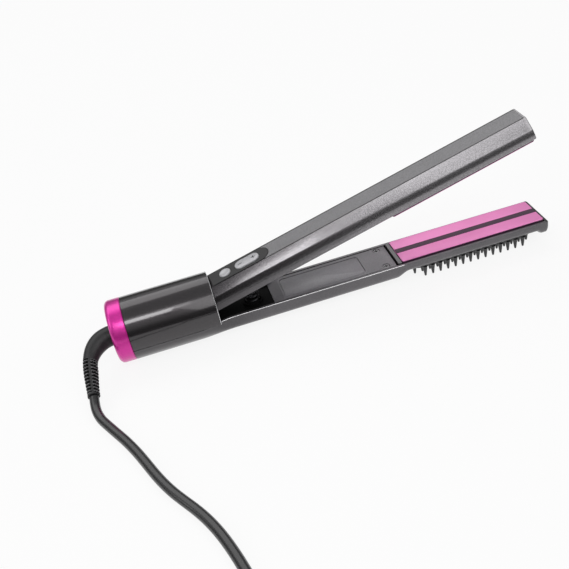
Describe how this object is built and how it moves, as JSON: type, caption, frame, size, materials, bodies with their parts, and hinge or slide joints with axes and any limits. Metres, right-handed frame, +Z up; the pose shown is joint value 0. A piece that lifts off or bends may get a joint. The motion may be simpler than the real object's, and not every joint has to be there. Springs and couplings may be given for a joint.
{
  "type": "hair straightener curler",
  "caption": "Slim hair straightener and curler with round handle, hinged arms, floating plate, comb under the lower jaw and swivelling cord; modelled open.",
  "frame": {"origin": "centre of the casing's footprint on the table, under the middle between the collar's rear face and the lower jaw's tip", "axes": "+X from the handle to the jaw tips, +Y across to the far side of the picture, +Z up off the table"},
  "size_m": [0.2909, 0.396, 0.0836],
  "materials": {
    "shell": "dark charcoal with fine glitter",
    "arm_grey": "satin dark grey",
    "collar": "satin magenta",
    "black_matte": "matte black",
    "black_gloss": "gloss black",
    "panel_grey": "matte grey",
    "steel": "zinc plated",
    "screw": "zinc plated",
    "dark_screw": "black zinc",
    "silicone": "silicone foam",
    "plate": "pink ceramic coating",
    "stripe": "dark violet inlay",
    "ceramic": "white ceramic",
    "board": "green solder mask",
    "button": "satin silver",
    "cord": "matt dark grey rubber",
    "pins": "nickel plated"
  },
  "bodies": {
    "handle": {"upper_handle_shell": "shell", "lower_arm_shell": "arm_grey", "end_collar": "collar", "end_cap": "black_matte", "hinge_bracket": "steel", "bracket_screws": "screw", "hinge_pin": "steel", "hinge_tray": "black_gloss", "opening_spring": "steel", "inner_cover": "arm_grey", "inset_panel": "panel_grey", "cover_screws": "dark_screw", "lower_plate_carrier": "shell", "plate_pads": "silicone", "comb": "black_matte", "circuit_board": "board", "board_screws": "screw", "cord_run": "cord", "cord_hank": "cord", "cord_tail": "cord", "hank_tie": "black_matte", "plug_body": "black_matte", "plug_pins": "pins"},
    "floating_plate": {"lower_plate": "plate", "lower_stripe": "stripe", "lower_heater": "ceramic"},
    "upper_arm": {"upper_arm_shell": "shell", "top_panel": "panel_grey", "control_panel": "black_gloss", "button_board": "board", "upper_inner_cover": "shell", "upper_cover_screws": "dark_screw", "upper_plate_carrier": "shell", "upper_plate": "plate", "upper_stripe": "stripe", "upper_heater": "ceramic"},
    "power_button": {"power_button": "button"},
    "temperature_rocker": {"temperature_rocker": "button"},
    "cord_swivel": {"swivel_barrel": "black_matte", "cord_elbow": "cord"}
  },
  "joints": [
    {"name": "arm_hinge", "type": "hinge", "parent": "handle", "child": "upper_arm", "pos_m": [-0.0835, 0, 0.024], "axis": [0, 1, 0], "range_deg": [0, 14.2], "stiffness_Nm_per_rad": 1, "springref_deg": -14.32, "deforming": ["opening_spring"]},
    {"name": "plate_float", "type": "slide", "parent": "handle", "child": "floating_plate", "axis": [0, 0, -1], "range_m": [0, 0.0008], "stiffness_N_per_m": 4000, "springref_m": -0.0005, "deforming": ["plate_pads"]},
    {"name": "power_press", "type": "slide", "parent": "upper_arm", "child": "power_button", "axis": [0.2453, 0, -0.9694], "range_m": [0, 0.0007], "stiffness_N_per_m": 3000, "springref_m": -0.0003},
    {"name": "temperature_rock", "type": "hinge", "parent": "upper_arm", "child": "temperature_rocker", "pos_m": [-0.04794, 0, 0.03836], "axis": [0, 1, 0], "range_deg": [-3, 3], "stiffness_Nm_per_rad": 0.1},
    {"name": "cord_turn", "type": "hinge", "parent": "handle", "child": "cord_swivel", "pos_m": [-0.135, 0, 0.019], "axis": [1, 0, 0], "range_deg": [-100, 4]}
  ]
}
